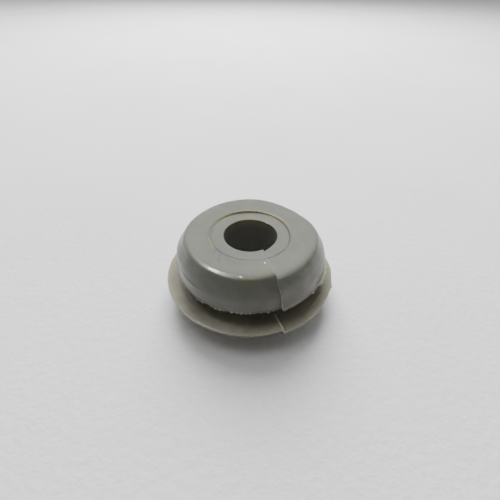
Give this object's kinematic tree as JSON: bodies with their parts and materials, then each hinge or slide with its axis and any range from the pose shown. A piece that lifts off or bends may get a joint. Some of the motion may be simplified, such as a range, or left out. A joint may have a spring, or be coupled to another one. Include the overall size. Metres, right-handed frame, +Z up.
{
  "type": "fuel tap seal",
  "caption": "Moulded rubber grommet seal with a domed head, a groove for a tank wall, a thin wide flange and a bore for a push-in fuel tap. A radial cut opens the ring.",
  "frame": {"origin": "centre of the foot's flat lower face, on the bore axis", "axes": "+Z up along the bore axis, from the foot towards the domed head; -Y is the side with the cut"},
  "size_m": [0.0264, 0.0264, 0.0117],
  "materials": {
    "tap_seal": "satin"
  },
  "bodies": {
    "root": {"tap_seal": "tap_seal"}
  },
  "joints": []
}
